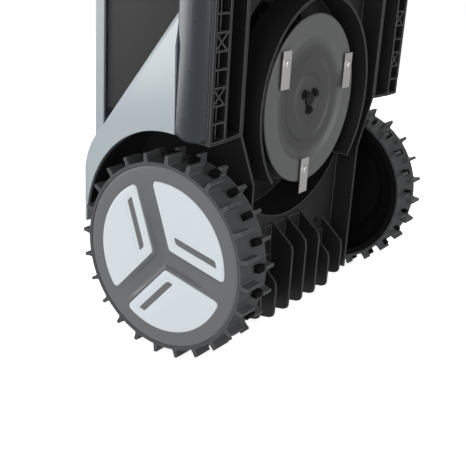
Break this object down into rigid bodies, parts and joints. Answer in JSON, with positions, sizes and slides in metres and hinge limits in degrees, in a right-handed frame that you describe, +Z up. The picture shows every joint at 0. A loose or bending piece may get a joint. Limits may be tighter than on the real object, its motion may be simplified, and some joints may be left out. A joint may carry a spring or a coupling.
{
  "type": "robotic lawn mower",
  "caption": "Robotic lawn mower with large cleated rear wheels, front casters, a floating blade disc under the belly, a finned rear guard and a low grey shell.",
  "frame": {"origin": "middle of the footprint's bounding box, on the ground the wheels stand on", "axes": "+Z up; +Y to the rear, so the nose points to -Y; -X is the machine's own right side"},
  "size_m": [0.4122, 0.6, 0.276],
  "materials": {
    "shell_grey": "satin moulded plastic, light blue-grey",
    "slate_gloss": "glossy slate",
    "chassis_black": "fine-textured black",
    "bumper_black": "soft matt black",
    "tyre_rubber": "matt dark grey rubber",
    "rim_black": "black",
    "cap_grey": "satin dark grey",
    "insert_silver": "pale silver-blue satin",
    "caster_grey": "matt",
    "shaft_steel": "ground",
    "disc_grey": "satin grey",
    "hub_black": "black",
    "screw_black": "black oxide",
    "blade_steel": "bright ground steel",
    "motor_metal": "satin",
    "gearbox_black": "matt",
    "battery_case": "matt",
    "board_green": "solder mask",
    "panel_black": "gloss black",
    "stop_red": "satin red",
    "key_grey": "matt",
    "knob_grey": "matt",
    "window_black": "gloss black",
    "lens_glass": "coated glass",
    "contact_brass": "polished"
  },
  "bodies": {
    "chassis": {"chassis_tub": "chassis_black", "rear_comb": "chassis_black", "belly_screws": "screw_black", "side_rail_right": "chassis_black", "side_rail_left": "chassis_black", "side_skirt_right": "slate_gloss", "side_skirt_left": "slate_gloss", "rear_fender_right": "shell_grey", "rear_fender_left": "shell_grey", "side_trim_right": "chassis_black", "side_trim_left": "chassis_black", "drive_gearbox_right": "gearbox_black", "drive_gearbox_left": "gearbox_black", "drive_motor_right": "motor_metal", "drive_motor_left": "motor_metal", "top_cover": "shell_grey", "control_panel": "panel_black", "bumper_guides": "shaft_steel", "camera_window": "window_black", "camera_lenses": "lens_glass", "battery_pack": "battery_case", "main_board": "board_green", "axle_bearings": "shaft_steel"},
    "bumper": {"front_bumper": "bumper_black", "charging_contacts": "contact_brass"},
    "rear_wheel_right": {"tyre_right": "tyre_rubber", "rim_right": "rim_black", "hub_cap_right": "cap_grey", "hub_insert_right": "insert_silver", "axle_shaft_right": "shaft_steel"},
    "caster_right": {"caster_fork_right": "chassis_black", "caster_axle_right": "shaft_steel"},
    "caster_roller_right": {"caster_wheel_right": "caster_grey"},
    "rear_wheel_left": {"tyre_left": "tyre_rubber", "rim_left": "rim_black", "hub_cap_left": "cap_grey", "hub_insert_left": "insert_silver", "axle_shaft_left": "shaft_steel"},
    "caster_left": {"caster_fork_left": "chassis_black", "caster_axle_left": "shaft_steel"},
    "caster_roller_left": {"caster_wheel_left": "caster_grey"},
    "deck": {"deck_housing": "chassis_black", "blade_motor": "motor_metal"},
    "cutter": {"blade_disc": "disc_grey", "disc_hub": "hub_black", "hub_screws": "screw_black", "blade_screws": "blade_steel", "motor_shaft": "shaft_steel"},
    "blade_1": {"blade_1": "blade_steel"},
    "blade_2": {"blade_2": "blade_steel"},
    "blade_3": {"blade_3": "blade_steel"},
    "knob": {"height_knob": "knob_grey", "lift_screw": "shaft_steel"},
    "stop_button": {"stop_button": "stop_red"},
    "key_power": {"key_power": "key_grey"},
    "key_home": {"key_home": "key_grey"},
    "key_start": {"key_start": "key_grey"},
    "key_confirm": {"key_confirm": "key_grey"}
  },
  "joints": [
    {"name": "rear_wheel_right_spin", "type": "hinge", "parent": "chassis", "child": "rear_wheel_right", "pos_m": [-0.18, 0.19, 0.11], "axis": [1, 0, 0], "continuous": true},
    {"name": "caster_right_swivel", "type": "hinge", "parent": "chassis", "child": "caster_right", "pos_m": [-0.115, -0.235, 0.09], "axis": [0, 0, 1], "continuous": true},
    {"name": "caster_right_roll", "type": "hinge", "parent": "caster_right", "child": "caster_roller_right", "pos_m": [-0.115, -0.215, 0.035], "axis": [1, 0, 0], "continuous": true},
    {"name": "rear_wheel_left_spin", "type": "hinge", "parent": "chassis", "child": "rear_wheel_left", "pos_m": [0.18, 0.19, 0.11], "axis": [1, 0, 0], "continuous": true},
    {"name": "caster_left_swivel", "type": "hinge", "parent": "chassis", "child": "caster_left", "pos_m": [0.115, -0.235, 0.09], "axis": [0, 0, 1], "continuous": true},
    {"name": "caster_left_roll", "type": "hinge", "parent": "caster_left", "child": "caster_roller_left", "pos_m": [0.115, -0.215, 0.035], "axis": [1, 0, 0], "continuous": true},
    {"name": "bumper_push", "type": "slide", "parent": "chassis", "child": "bumper", "axis": [0, 1, 0], "range_m": [0, 0.005], "stiffness_N_per_m": 1200},
    {"name": "deck_lift", "type": "slide", "parent": "chassis", "child": "deck", "axis": [0, 0, 1], "range_m": [-0.02, 0.03]},
    {"name": "disc_spin", "type": "hinge", "parent": "deck", "child": "cutter", "pos_m": [0, 0.043, 0.07], "axis": [0, 0, 1], "continuous": true},
    {"name": "blade_1_pivot", "type": "hinge", "parent": "cutter", "child": "blade_1", "pos_m": [-0.00809, 0.12259, 0.06], "axis": [0, 0, 1], "continuous": true},
    {"name": "blade_2_pivot", "type": "hinge", "parent": "cutter", "child": "blade_2", "pos_m": [-0.06488, -0.0038, 0.06], "axis": [0, 0, 1], "continuous": true},
    {"name": "blade_3_pivot", "type": "hinge", "parent": "cutter", "child": "blade_3", "pos_m": [0.07297, 0.01021, 0.06], "axis": [0, 0, 1], "continuous": true},
    {"name": "height_knob_turn", "type": "hinge", "parent": "chassis", "child": "knob", "pos_m": [0, -0.045, 0.262], "axis": [0, 0, 1], "range_deg": [-108.2, 162.2]},
    {"name": "stop_button_press", "type": "slide", "parent": "chassis", "child": "stop_button", "axis": [0, 0, -1], "range_m": [0, 0.004], "stiffness_N_per_m": 500},
    {"name": "key_power_press", "type": "slide", "parent": "chassis", "child": "key_power", "axis": [0, 0, -1], "range_m": [0, 0.0015], "stiffness_N_per_m": 400},
    {"name": "key_home_press", "type": "slide", "parent": "chassis", "child": "key_home", "axis": [0, 0, -1], "range_m": [0, 0.0015], "stiffness_N_per_m": 400},
    {"name": "key_start_press", "type": "slide", "parent": "chassis", "child": "key_start", "axis": [0, 0, -1], "range_m": [0, 0.0015], "stiffness_N_per_m": 400},
    {"name": "key_confirm_press", "type": "slide", "parent": "chassis", "child": "key_confirm", "axis": [0, 0, -1], "range_m": [0, 0.0015], "stiffness_N_per_m": 400}
  ],
  "couplings": [
    {"joint": "height_knob_turn", "follows": "deck_lift", "rad_per_m": 94.248}
  ]
}
